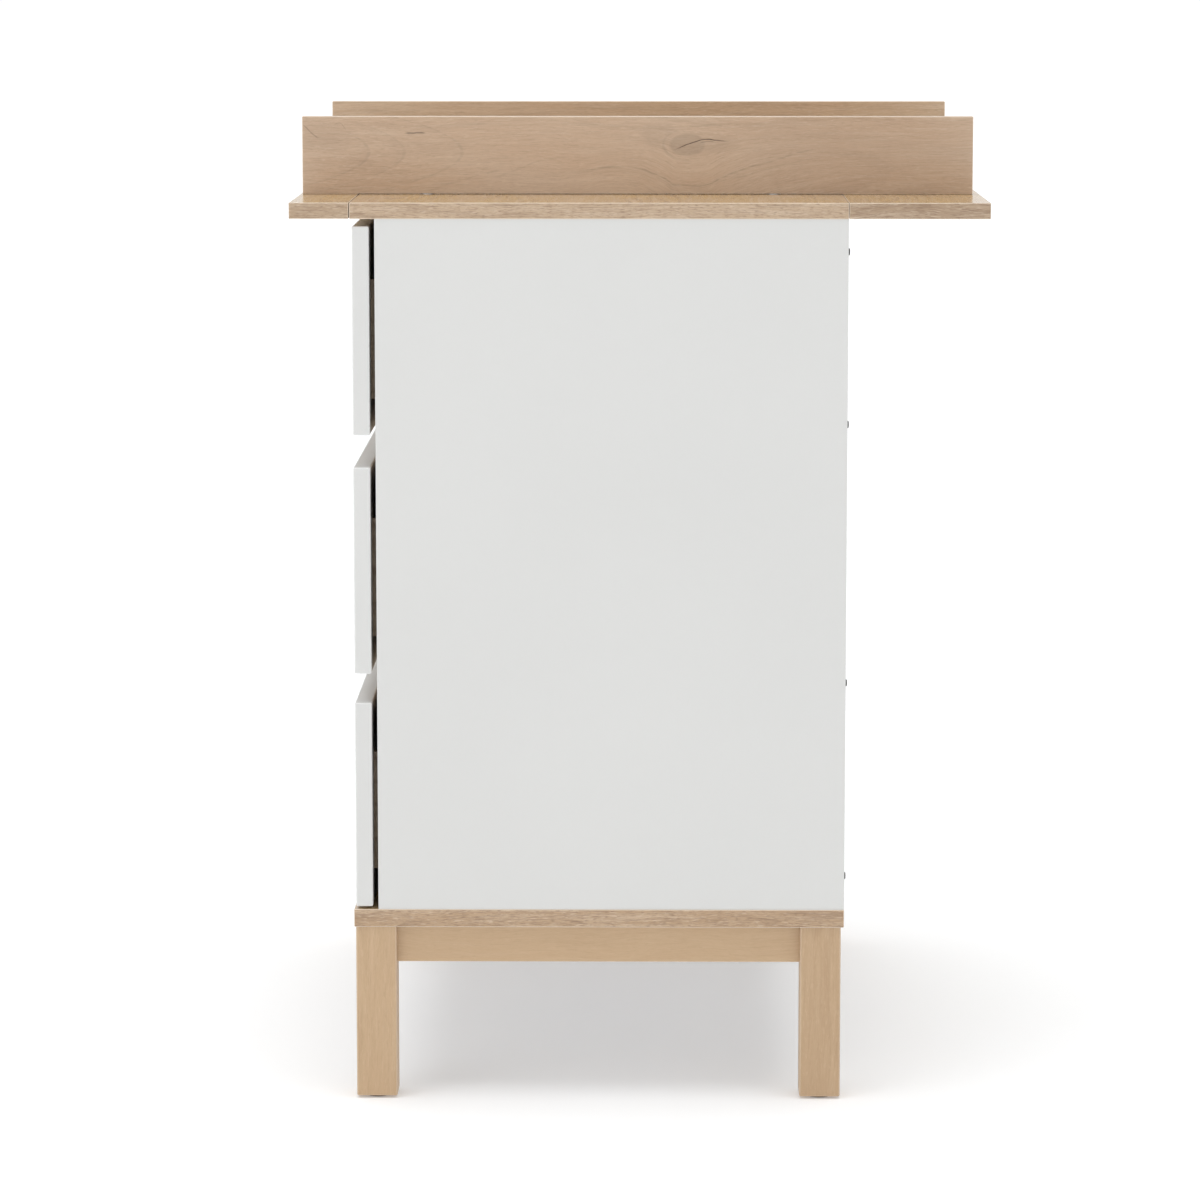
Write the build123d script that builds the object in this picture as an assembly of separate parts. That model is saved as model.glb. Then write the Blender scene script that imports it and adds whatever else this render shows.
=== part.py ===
"""Three-drawer baby changing chest with a lift-off changing top.

Millimetres. +Z is up, the drawers open towards -Y and the ends face +X and -X. The origin is
on the floor, at the centre of the overall width and depth. Each piece is written to parts/.
"""
import os
from math import sqrt
from build123d import *

# ---------------------------------------------------------------- driving dimensions
# overall
WIDTH = 800.0
CHEST_DEPTH = 493.0  # top board and bottom board, front to back
SURFACE_HEIGHT = 905.0  # floor to the top face of the top board
# changing top
FRONT_STRIP_DEPTH = 59.0
BACK_STRIP_DEPTH = 139.4
FRONT_STRIP_GAP = 0.8  # between the chest's top board and the front strip
BACK_STRIP_GAP = 0.4
STRIP_THICK = 16.0
STRIP_SCREW_INSETS = {"front": (18.0, 15.0), "back": (22.0, 30.0)}  # from a strip's two long edges
STRIP_SCREW_BITE = 34.0  # screw's length above the strip
UPRIGHT_HEIGHT = 79.0
UPRIGHT_THICK = 16.0
BAY_WIDTH = 450.0  # clear width between the two uprights
UPRIGHT_FRONT_INSET = 2.5
UPRIGHT_REAR_INSET = 7.5
UPRIGHT_RELIEF = 0.9  # shallow step under an upright, over the top board
TRAY_BOLT_INSET = 70.0  # from the top board's front and rear edges
# chest boards
TOP_THICK = 16.0
BOTTOM_THICK = 18.0
SIDE_THICK = 16.0
SIDE_INSET = 1.0  # side panel's outer face, in from the top board's end
SIDE_SETBACK = 24.5  # side panel's front edge, back from the top board's front edge
BACK_THICK = 3.0
BACK_RABBET = 8.0
BACK_SLACK = 0.5  # between the back panel's ends and the rabbets
BACK_SCREW_LENGTH = 16.0
CROSS_RAIL_THICK = 16.0
CROSS_RAIL_HEIGHT = 62.0
CROSS_RAIL_LIFT = 9.0  # rail centre above the centre of the finger gap in front of it
RAIL_CAM_DROP = 14.0  # cam below the cross rail's centre
RAIL_DOWEL_RISE = 28.0  # dowel above that cam
# drawers
FRONT_THICK = 17.0
FRONT_SETBACK = 2.0  # drawer front's face, back from the top board's front edge
FRONT_END_INSET = 2.0
TOP_FRONT_GAP = 7.5
FINGER_GAPS = (32.0, 29.5)  # under the top front and under the middle front
BOTTOM_FRONT_GAP = 2.5
BOX_RISE = 34.0  # drawer box's lower edge above the front's lower edge
BOX_DROP = 54.4  # drawer box's upper edge below the front's upper edge
BOX_JOINT_EDGE = 21.5  # cams and screws of a drawer side, in from its upper and lower edges
BOX_THICK = 12.0
BOX_REAR_CLEARANCE = 41.0
BOX_SCREW_LENGTH = 35.0
PANEL_THICK = 3.0
PANEL_GROOVE = 6.0
PANEL_RISE = 10.0
PANEL_SLACK = 0.5
# runners
RUNNER_SPACE = 13.0  # between a side panel and the drawer box
RUNNER_HEIGHT = 35.0
RUNNER_METAL = 1.2
RUNNER_SHORTFALL = 30.0  # runner's length, short of the drawer box's
RUNNER_FLANGE = 10.5
RUNNER_SCREW_INSET = 35.0
RUNNER_SCREW_LENGTH = 14.0
INNER_RUNNER_GAP = 3.2  # inner member's flange tips, short of the side panel
INNER_SCREW_INSET = 60.0
INNER_SCREW_LENGTH = 11.0
BALL_RADIUS = 2.0
BALLS_PER_ROW = 5
BALL_PITCH = 16.0
BALL_SHIFT = 0.3  # balls' line, outwards of the middle of the runner space
CAGE_METAL = 0.8
CAGE_BACK_GAP = 0.5  # between the cage's web and the fixed member
CAGE_REACH = 10.0  # from the side panel to the cage's flange tips
# base
GLIDE_THICK = 2.5
GLIDE_RADIUS = 14.0
GLIDE_EASE = 1.0
GLIDE_PIN_RADIUS = 1.5
GLIDE_PIN_LENGTH = 12.0
LEG_LENGTH = 174.7
LEG_SIZE = 41.0
LEG_FRONT_INSET = 1.5
LEG_REAR_INSET = 3.0
LEG_END_INSET = 2.5
LEG_DOWEL_LIFT = 12.0  # dowels above and below the hanger bolt
FOOT_CHAMFER = 1.0
BASE_RAIL_HEIGHT = 38.0
BASE_RAIL_THICK = 20.0
BASE_RAIL_RECESS = 9.0
BASE_RAIL_EASE = 1.5
BASE_RAIL_SCREWS = (0.3, 0.7)  # shares of a rail's length
BASE_RAIL_BITE = 22.0  # screw's length in a rail
BRACKET_METAL = 2.0
BRACKET_HEIGHT = 30.0
BRACKET_REACH = 38.0
BRACKET_FLANGE = 20.0
BRACKET_SCREW_LENGTH = 16.0
# fasteners
CAM_RADIUS = 7.5
CAM_EDGE = 24.0  # cam's axis from the joint
CAM_BOLT_RADIUS = 3.0
CAM_THREAD = 11.0
CAM_WALL = 4.0  # board left under a cam
BOX_CAM_WALL = 2.5
CAM_INSET = 50.0  # carcass cams, from the side panels' front and rear edges
DOWEL_RADIUS = 4.0
DOWEL_HALF = 15.0
DOWEL_STEP = 40.0  # carcass dowel, inwards of its cam
DOWEL_SHIFT = 5.0  # a dowel goes less far into the board across the joint
SCREW_RADIUS = 1.75
SCREW_HEAD_RADIUS = 3.6
SCREW_RECESS = 1.0
PAN_HEAD_THICK = 1.6
PAN_CROWN = 0.6  # share of a round head's thickness that is rounded
FLUSH_RECESS_SPAN = 0.9  # a flush head's recess, as a share of its radius
CAM_SLOT_SPAN = 1.1  # a cam's recess, as a share of its radius
CAM_RECESS = 1.6
RECESS_SHARE = 0.24  # width of a recess's wings, as a share of its span
BOLT_RADIUS = 3.0
BOLT_HEAD_RADIUS = 6.5
BOLT_HEAD_THICK = 3.5
BOLT_BITE = 30.0
BOLT_SLACK = 0.3
HANGER_BITE = 26.0  # hanger bolt in the leg
HANGER_TAIL = 14.0  # hanger bolt past the bracket
SPACER_RADIUS = 7.5
NUT_RADIUS = 5.8
NUT_THICK = 5.0
BACK_SCREW_EDGE = 33.0  # end screws of the back panel, in from the boards above and below
BACK_SCREW_LIFTS = {"top": 10.5, "middle": -10.0}  # from those drawer fronts' lower edges
# small clearances and eased edges
FIT = 0.1
EASE = 0.8
FRONT_EASE = 1.6
LEG_EASE = 2.0

# ---------------------------------------------------------------- derived places
HALF = WIDTH / 2
STRIP_GAPS = FRONT_STRIP_GAP + BACK_STRIP_GAP
DEPTH = FRONT_STRIP_DEPTH + CHEST_DEPTH + BACK_STRIP_DEPTH + STRIP_GAPS
TRAY_FRONT = -DEPTH / 2
TRAY_REAR = DEPTH / 2
CHEST_FRONT = TRAY_FRONT + FRONT_STRIP_DEPTH + FRONT_STRIP_GAP
CHEST_REAR = CHEST_FRONT + CHEST_DEPTH
TOP_UNDER = SURFACE_HEIGHT - TOP_THICK
BASE_TOP = GLIDE_THICK + LEG_LENGTH
FLOOR_TOP = BASE_TOP + BOTTOM_THICK
SIDE_OUT = HALF - SIDE_INSET
SIDE_IN = SIDE_OUT - SIDE_THICK
SIDE_MID = SIDE_OUT - SIDE_THICK / 2
SIDE_FRONT = CHEST_FRONT + SIDE_SETBACK
FACE_FRONT = CHEST_FRONT + FRONT_SETBACK
FACE_REAR = FACE_FRONT + FRONT_THICK
BACK_FRONT = CHEST_REAR - BACK_THICK
BOX_OUT = SIDE_IN - RUNNER_SPACE
BOX_IN = BOX_OUT - BOX_THICK
BOX_REAR = BACK_FRONT - BOX_REAR_CLEARANCE
RUNNER_FRONT = SIDE_FRONT + 2 * EASE
RUNNER_LENGTH = BOX_REAR - FACE_REAR - RUNNER_SHORTFALL
RUNNER_REAR = RUNNER_FRONT + RUNNER_LENGTH
BALL_LINE = RUNNER_HEIGHT / 2 - RUNNER_METAL - BALL_RADIUS - FIT / 2
UPRIGHT_IN = BAY_WIDTH / 2
UPRIGHT_MID = UPRIGHT_IN + UPRIGHT_THICK / 2
LEG_OUT = HALF - LEG_END_INSET
LEG_IN = LEG_OUT - LEG_SIZE
LEG_FRONT = CHEST_FRONT + LEG_FRONT_INSET
LEG_REAR = CHEST_REAR - LEG_REAR_INSET
RAIL_LOW = BASE_TOP - BASE_RAIL_HEIGHT
RAIL_MID = BASE_TOP - BASE_RAIL_HEIGHT / 2
RAIL_INNER_STEP = LEG_SIZE - BASE_RAIL_RECESS - BASE_RAIL_THICK
FRONT_HEIGHT = (TOP_UNDER - FLOOR_TOP - TOP_FRONT_GAP - sum(FINGER_GAPS) - BOTTOM_FRONT_GAP) / 3
BOX_HEIGHT = FRONT_HEIGHT - BOX_RISE - BOX_DROP
NAMES = ("top", "middle", "bottom")
X, Y, Z = Vector(1, 0, 0), Vector(0, 1, 0), Vector(0, 0, 1)
ENDS = ((1, "right"), (-1, "left"))


def front_lows():
    """Lower edge of each drawer front, from the top drawer down."""
    low = TOP_UNDER - TOP_FRONT_GAP - FRONT_HEIGHT
    lows = [low]
    for gap in FINGER_GAPS:
        low -= gap + FRONT_HEIGHT
        lows.append(low)
    return dict(zip(NAMES, lows))


LOWS = front_lows()


# ---------------------------------------------------------------- shared shapes
def block(x, y, z, ease=0.0):
    """Box between two values on each axis, with its edges rounded by ease."""
    spans = [sorted(pair) for pair in (x, y, z)]
    centre = [(low + high) / 2 for low, high in spans]
    solid = Pos(*centre) * Box(*[high - low for low, high in spans])
    return fillet(solid.edges(), ease) if ease else solid


def rod(start, direction, radius, length):
    """Cylinder that runs from a start point along a direction."""
    lay = (Align.CENTER, Align.CENTER, Align.MIN)
    return Plane(origin=start, z_dir=direction) * Cylinder(radius, length, align=lay)


def cut(solid, tools):
    """Solid with a list of tools taken away."""
    return solid - tools if tools else solid


def cross_recess(start, direction, span, depth):
    """Cross-shaped driver recess that starts at a surface and goes in along a direction."""
    lay = (Align.CENTER, Align.CENTER, Align.MIN)
    wing = span * RECESS_SHARE
    cross = Box(span, wing, depth, align=lay) + Box(wing, span, depth, align=lay)
    return Plane(origin=start, z_dir=direction) * cross


def flush_screw(start, direction, length):
    """Countersunk screw with a cross recess, its head level with the surface at start."""
    recess = cross_recess(start, direction, SCREW_HEAD_RADIUS * FLUSH_RECESS_SPAN, SCREW_RECESS)
    return flush_hole(start, direction, length, 0.0) - recess


def flush_hole(start, direction, length, slack=FIT / 2):
    """Countersunk hole for a flush screw."""
    sink = SCREW_HEAD_RADIUS - SCREW_RADIUS
    lay = (Align.CENTER, Align.CENTER, Align.MIN)
    head = Cone(SCREW_HEAD_RADIUS + slack, SCREW_RADIUS + slack, sink, align=lay)
    shank = rod(start, direction, SCREW_RADIUS + slack, length + slack)
    return Plane(origin=start, z_dir=direction) * head + shank


def pan_screw(start, direction, length):
    """Round-headed screw whose head stands on the surface at start, with a cross recess."""
    head = rod(start, -direction, SCREW_HEAD_RADIUS, PAN_HEAD_THICK)
    ends = head.faces().filter_by(GeomType.PLANE)
    crown = min(ends, key=lambda face: face.center().dot(direction))
    head = fillet(crown.edges(), PAN_HEAD_THICK * PAN_CROWN)
    top = start - direction * PAN_HEAD_THICK
    recess = cross_recess(top, direction, SCREW_HEAD_RADIUS, SCREW_RECESS)
    return head + rod(start, direction, SCREW_RADIUS, length) - recess


def cam_fitting(joint, along, face, reach, depth):
    """Cam and bolt that pull two boards together at a joint.

    along points from the joint into the board with the cam, face from the bolt's axis to the
    surface that the cam is let into, reach is that distance. Returns the two pieces, the holes
    in the cam's board and the hole in the other board.
    """
    mouth = joint + along * CAM_EDGE + face * reach
    bolt = rod(joint - along * CAM_THREAD, along, CAM_BOLT_RADIUS, CAM_THREAD + CAM_EDGE)
    passage = rod(joint, along, CAM_BOLT_RADIUS + FIT, CAM_EDGE + FIT)
    slot = cross_recess(mouth, -face, CAM_RADIUS * CAM_SLOT_SPAN, CAM_RECESS)
    cam = rod(mouth, -face, CAM_RADIUS, depth) - passage - slot
    pocket = rod(mouth + face, -face, CAM_RADIUS + FIT, depth + 1 + FIT)
    thread = rod(joint, -along, CAM_BOLT_RADIUS + FIT, CAM_THREAD + FIT)
    return [cam, bolt], [pocket, passage], [thread]


def dowel(joint, along):
    """Wooden dowel centred on a joint, and its hole."""
    peg = rod(joint - along * DOWEL_HALF, along, DOWEL_RADIUS, 2 * DOWEL_HALF)
    hole = rod(joint - along * (DOWEL_HALF + FIT), along, DOWEL_RADIUS + FIT, 2 * (DOWEL_HALF + FIT))
    return peg, hole


def channel(web, tip, half_height, metal, y):
    """Folded channel on the right-hand side: an upright web and a flange above and below it."""
    toward = 1 if tip > web else -1
    pieces = [block((web, web + toward * metal), y, (-half_height, half_height))]
    for up in (1, -1):
        pieces.append(block((web, tip), y, (up * (half_height - metal), up * half_height)))
    return pieces[0] + pieces[1:]


def both_ends(solids):
    """The given solids of the right-hand end, with their mirror images at the left."""
    return solids + [mirror(solid, about=Plane.YZ) for solid in solids]


def write(name, solids):
    """Write one node from a solid or a list of separate solids."""
    loose = []
    for item in solids if isinstance(solids, list) else [solids]:
        loose.extend(item.solids())
    shape = loose[0] if len(loose) == 1 else Compound(children=loose)
    export_step(shape, f"parts/{name}.step")


# ---------------------------------------------------------------- chest
def carcass_joints():
    """Cams and dowels between the side panels and the top and bottom boards."""
    fittings, pegs = [], []
    side_cuts = {1: [], -1: []}
    board_cuts = []
    places = (SIDE_FRONT + CAM_INSET, CHEST_REAR - CAM_INSET)
    for sign, _ in ENDS:
        for level, down in ((TOP_UNDER, -1), (FLOOR_TOP, 1)):
            for y in places:
                joint = Vector(sign * SIDE_MID, y, level)
                made = cam_fitting(joint, Z * down, X * -sign, SIDE_THICK / 2, SIDE_THICK - CAM_WALL)
                fittings += made[0]
                side_cuts[sign] += made[1]
                board_cuts += made[2]
                inward = DOWEL_STEP if y == places[0] else -DOWEL_STEP
                peg, hole = dowel(joint + Y * inward, Z)
                peg = Pos(0, 0, down * DOWEL_SHIFT) * peg
                hole = Pos(0, 0, down * DOWEL_SHIFT) * hole
                pegs.append(peg)
                side_cuts[sign].append(hole)
                board_cuts.append(hole)
    return fittings, pegs, side_cuts, board_cuts


def rail_level(index):
    """Centre height of the cross rail behind a finger gap."""
    return LOWS[NAMES[index]] - FINGER_GAPS[index] / 2 + CROSS_RAIL_LIFT


def cross_rails(side_cuts):
    """Rails behind the finger gaps, with the fittings at their ends."""
    fittings, pegs = [], []
    y = SIDE_FRONT + CROSS_RAIL_THICK / 2
    for index, name in enumerate(("upper", "lower")):
        level = rail_level(index)
        half = CROSS_RAIL_HEIGHT / 2
        rear = SIDE_FRONT + CROSS_RAIL_THICK
        rail = block((-SIDE_IN, SIDE_IN), (SIDE_FRONT, rear), (level - half, level + half))
        holes = []
        for sign, _ in ENDS:
            joint = Vector(sign * SIDE_IN, y, level - RAIL_CAM_DROP)
            made = cam_fitting(joint, X * -sign, Y, CROSS_RAIL_THICK / 2,
                               CROSS_RAIL_THICK - CAM_WALL)
            peg, hole = dowel(joint + Z * RAIL_DOWEL_RISE, X * sign)
            peg = Pos(-sign * DOWEL_SHIFT, 0, 0) * peg
            hole = Pos(-sign * DOWEL_SHIFT, 0, 0) * hole
            fittings += made[0]
            pegs.append(peg)
            holes += made[1] + [hole]
            side_cuts[sign] += made[2] + [hole]
        write(f"cross_rail_{name}", cut(rail, holes))
    return fittings, pegs


def back_panel(side_cuts):
    """Thin back let into the side panels' rear edges, and the screws that hold it."""
    reach = SIDE_IN + BACK_RABBET
    half = reach - BACK_SLACK
    panel = block((-half, half), (BACK_FRONT, CHEST_REAR), (FLOOR_TOP, TOP_UNDER))
    screws, holes = [], []
    heights = [TOP_UNDER - BACK_SCREW_EDGE, FLOOR_TOP + BACK_SCREW_EDGE]
    heights += [LOWS[name] + lift for name, lift in BACK_SCREW_LIFTS.items()]
    for sign, _ in ENDS:
        rabbet = block((sign * SIDE_IN - sign, sign * reach), (BACK_FRONT, CHEST_REAR + 1),
                       (FLOOR_TOP - 1, TOP_UNDER + 1))
        side_cuts[sign].append(rabbet)
        for height in heights:
            place = Vector(sign * (SIDE_IN + BACK_RABBET / 2), CHEST_REAR, height)
            screws.append(pan_screw(place, -Y, BACK_SCREW_LENGTH))
            hole = rod(place + Y, -Y, SCREW_RADIUS + FIT / 2, BACK_SCREW_LENGTH + 1 + FIT)
            holes.append(hole)
            side_cuts[sign].append(hole)
    write("back_panel", cut(panel, holes))
    write("back_panel_screws", screws)


def runner_level(name):
    """Centre height of a drawer's runners."""
    return LOWS[name] + BOX_RISE + BOX_HEIGHT / 2


def runners(side_cuts):
    """Fixed runner members on the side panels, their screws and the ball cages."""
    screws = []
    for name in NAMES:
        level = runner_level(name)
        member = channel(SIDE_IN, SIDE_IN - RUNNER_FLANGE, RUNNER_HEIGHT / 2, RUNNER_METAL,
                         (RUNNER_FRONT, RUNNER_REAR))
        member = Pos(0, 0, level) * member
        holes = []
        for y in (RUNNER_FRONT + RUNNER_SCREW_INSET, RUNNER_REAR - RUNNER_SCREW_INSET):
            place = Vector(SIDE_IN - RUNNER_METAL, y, level)
            screws += both_ends([flush_screw(place, X, RUNNER_SCREW_LENGTH)])
            holes.append(flush_hole(place, X, RUNNER_SCREW_LENGTH))
        write(f"runner_outer_{name}", both_ends([cut(member, holes)]))
        side_cuts[1] += holes
        side_cuts[-1] += [mirror(hole, about=Plane.YZ) for hole in holes]
        ball_cage(name, level)
    write("runner_screws", screws)


def ball_cage(name, level):
    """Ball retainer of one drawer's two runners, with its balls, in the middle of the runners."""
    middle = (RUNNER_FRONT + RUNNER_REAR) / 2
    half = (BALLS_PER_ROW * BALL_PITCH) / 2
    web = SIDE_IN - RUNNER_METAL - CAGE_BACK_GAP
    tip = SIDE_IN - CAGE_REACH
    centre = SIDE_IN - RUNNER_SPACE / 2 - BALL_SHIFT
    cage = channel(web, tip, BALL_LINE + CAGE_METAL / 2, CAGE_METAL, (middle - half, middle + half))
    cage = Pos(0, 0, level) * cage
    balls, holes = [], []
    for row in (1, -1):
        for index in range(BALLS_PER_ROW):
            y = middle + (index - (BALLS_PER_ROW - 1) / 2) * BALL_PITCH
            place = Pos(centre, y, level + row * BALL_LINE)
            balls.append(place * Sphere(BALL_RADIUS))
            holes.append(place * Cylinder(BALL_RADIUS + FIT, 4 * CAGE_METAL))
    write(f"ball_cage_{name}", both_ends([cut(cage, holes)] + balls))


def tray_fixings():
    """Bolts that hold the changing top down through the top board, and their spacers."""
    bolts, spacers, board_holes = [], [], []
    for y in (CHEST_FRONT + TRAY_BOLT_INSET, CHEST_REAR - TRAY_BOLT_INSET):
        under = Vector(UPRIGHT_MID, y, TOP_UNDER)
        reach = TOP_THICK + UPRIGHT_RELIEF + BOLT_BITE
        head = rod(under, -Z, BOLT_HEAD_RADIUS, BOLT_HEAD_THICK)
        bolts.append(rod(under, Z, BOLT_RADIUS, reach) + head)
        board_holes.append(rod(under - Z, Z, BOLT_RADIUS + BOLT_SLACK, TOP_THICK + 2))
        seat = Vector(UPRIGHT_MID, y, SURFACE_HEIGHT)
        bore = rod(seat, Z, BOLT_RADIUS + BOLT_SLACK, UPRIGHT_RELIEF)
        spacers.append(rod(seat, Z, SPACER_RADIUS, UPRIGHT_RELIEF) - bore)
    write("tray_bolts", both_ends(bolts))
    write("tray_spacers", both_ends(spacers))
    return both_ends(board_holes)


def chest():
    """Everything of the chest above its base. Returns the dowels and the bottom board's holes."""
    fittings, pegs, side_cuts, board_cuts = carcass_joints()
    more_fittings, more_pegs = cross_rails(side_cuts)
    back_panel(side_cuts)
    runners(side_cuts)
    for sign, name in ENDS:
        panel = block((sign * SIDE_IN, sign * SIDE_OUT), (SIDE_FRONT, CHEST_REAR),
                      (FLOOR_TOP, TOP_UNDER))
        panel = fillet(panel.edges().filter_by(Axis.Z).group_by(Axis.Y)[0], EASE / 2)
        write(f"side_panel_{name}", cut(panel, side_cuts[sign]))
    top = block((-HALF, HALF), (CHEST_FRONT, CHEST_REAR), (TOP_UNDER, SURFACE_HEIGHT), EASE)
    write("top_board", cut(top, board_cuts + tray_fixings()))
    write("chest_cams", fittings + more_fittings)
    return pegs + more_pegs, board_cuts


# ---------------------------------------------------------------- base
def leg(sign, y):
    """One square leg with eased long edges, between two values of y."""
    post = block((sign * LEG_IN, sign * LEG_OUT), y, (GLIDE_THICK, BASE_TOP))
    post = fillet(post.edges().filter_by(Axis.Z), LEG_EASE)
    return chamfer(post.edges().group_by(Axis.Z)[0], FOOT_CHAMFER)


def corner_bracket(sign, toward, corner):
    """Folded plate across a corner of the base, from one rail's inner face to the other's."""
    step, reach, metal = RAIL_INNER_STEP, BRACKET_REACH, BRACKET_METAL
    end = reach + BRACKET_FLANGE
    fold = metal * (sqrt(2) - 1)
    outline = [
        (step, end), (step, reach), (-reach, -step), (-end, -step),
        (-end, -step + metal), (-reach - fold, -step + metal),
        (step - metal, reach + fold), (step - metal, end),
    ]
    points = [(corner.X + sign * u, corner.Y + toward * v) for u, v in outline]
    low = RAIL_MID - BRACKET_HEIGHT / 2
    face = make_face(Polyline(*points, close=True))
    return extrude(Pos(0, 0, low) * face, BRACKET_HEIGHT, dir=(0, 0, 1))


def base(pegs, board_cuts):
    """Legs, rails, brackets, glides and screws under the bottom board, and that board."""
    glides, brackets, bolts, screws = [], [], [], []
    rail_cuts = {"right": [], "left": [], "front": [], "rear": []}
    board_holes = list(board_cuts)
    for sign, side in ENDS:
        for toward, end in ((1, "front"), (-1, "rear")):
            if end == "front":
                y = (LEG_FRONT, LEG_FRONT + LEG_SIZE)
                inner_y = y[1]
            else:
                y = (LEG_REAR - LEG_SIZE, LEG_REAR)
                inner_y = y[0]
            corner = Vector(sign * LEG_IN, inner_y, RAIL_MID)
            leg_cuts = []
            # dowels from both rails, above and below the bolt
            inset = BASE_RAIL_RECESS + BASE_RAIL_THICK / 2
            side_joint = Vector(sign * (LEG_OUT - inset), corner.Y, RAIL_MID)
            cross_joint = Vector(corner.X, corner.Y - toward * (LEG_SIZE - inset), RAIL_MID)
            for joint, along, rail in ((side_joint, Y, side), (cross_joint, X, end)):
                for lift in (LEG_DOWEL_LIFT, -LEG_DOWEL_LIFT):
                    peg, hole = dowel(joint + Z * lift, along)
                    pegs.append(peg)
                    leg_cuts.append(hole)
                    rail_cuts[rail].append(hole)
            # bracket, hanger bolt and nut on the diagonal
            inward = Vector(-sign, toward, 0).normalized()
            plate_at = (BRACKET_REACH - RAIL_INNER_STEP) / sqrt(2)
            plate = corner_bracket(sign, toward, corner)
            nut_at = corner + inward * (plate_at + BRACKET_METAL)
            length = HANGER_BITE + plate_at + HANGER_TAIL
            bolts.append(rod(corner - inward * HANGER_BITE, inward, BOLT_RADIUS, length))
            hexagon = Plane(origin=nut_at, z_dir=inward) * RegularPolygon(NUT_RADIUS, 6)
            nut = extrude(hexagon, NUT_THICK, dir=inward)
            bolts.append(nut - rod(nut_at, inward, BOLT_RADIUS + FIT / 2, NUT_THICK))
            bore_start = corner - inward * (HANGER_BITE + FIT)
            leg_cuts.append(rod(bore_start, inward, BOLT_RADIUS + FIT / 2, LEG_SIZE))
            holes = [rod(corner, inward, BOLT_RADIUS + BOLT_SLACK, plate_at + BRACKET_REACH)]
            # one screw through each flange into its rail
            middle = BRACKET_REACH + BRACKET_FLANGE / 2
            step = RAIL_INNER_STEP - BRACKET_METAL
            for place, aim, rail in (
                (corner + Vector(sign * step, toward * middle, 0), X * sign, side),
                (corner + Vector(-sign * middle, -toward * step, 0), Y * -toward, end),
            ):
                screws.append(flush_screw(place, aim, BRACKET_SCREW_LENGTH))
                hole = flush_hole(place, aim, BRACKET_SCREW_LENGTH)
                holes.append(hole)
                rail_cuts[rail].append(hole)
            brackets.append(cut(plate, holes))
            # glide with its pin in the foot of the leg
            foot = Vector(sign * (LEG_IN + LEG_SIZE / 2), (y[0] + y[1]) / 2, 0)
            disc = rod(foot, Z, GLIDE_RADIUS, GLIDE_THICK)
            disc = fillet(disc.edges().group_by(Axis.Z)[0], GLIDE_EASE)
            length = GLIDE_THICK + GLIDE_PIN_LENGTH
            glides.append(disc + rod(foot, Z, GLIDE_PIN_RADIUS, length))
            leg_cuts.append(rod(foot, Z, GLIDE_PIN_RADIUS + FIT / 2, length + FIT))
            write(f"leg_{end}_{side}", cut(leg(sign, y), leg_cuts))
    base_rails(rail_cuts, board_holes, screws)
    board = block((-HALF, HALF), (CHEST_FRONT, CHEST_REAR), (BASE_TOP, FLOOR_TOP), EASE)
    write("bottom_board", cut(board, board_holes))
    write("leg_glides", glides)
    write("corner_brackets", brackets)
    write("hanger_bolts", bolts)
    write("base_screws", screws)
    write("dowels", pegs)


def base_rails(rail_cuts, board_holes, screws):
    """The four rails between the legs, screwed up to the bottom board from above."""
    outer = LEG_OUT - BASE_RAIL_RECESS
    front = LEG_FRONT + BASE_RAIL_RECESS
    rear = LEG_REAR - BASE_RAIL_RECESS
    along_y = (LEG_FRONT + LEG_SIZE, LEG_REAR - LEG_SIZE)
    spans = {
        "right": ((outer - BASE_RAIL_THICK, outer), along_y),
        "left": ((-outer, -outer + BASE_RAIL_THICK), along_y),
        "front": ((-LEG_IN, LEG_IN), (front, front + BASE_RAIL_THICK)),
        "rear": ((-LEG_IN, LEG_IN), (rear - BASE_RAIL_THICK, rear)),
    }
    for name, (x, y) in spans.items():
        rail = block(x, y, (RAIL_LOW, BASE_TOP))
        long_axis = Axis.Y if name in ("right", "left") else Axis.X
        low_edges = rail.edges().filter_by(long_axis).group_by(Axis.Z)[0]
        rail = fillet(low_edges, BASE_RAIL_EASE)
        holes = list(rail_cuts[name])
        for share in BASE_RAIL_SCREWS:
            mid = Vector((x[0] + x[1]) / 2, (y[0] + y[1]) / 2, FLOOR_TOP)
            if long_axis == Axis.Y:
                mid.Y = y[0] + share * (y[1] - y[0])
            else:
                mid.X = x[0] + share * (x[1] - x[0])
            screws.append(flush_screw(mid, -Z, BOTTOM_THICK + BASE_RAIL_BITE))
            hole = flush_hole(mid, -Z, BOTTOM_THICK + BASE_RAIL_BITE)
            holes.append(hole)
            board_holes.append(hole)
        write(f"base_rail_{name}", cut(rail, holes))


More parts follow.
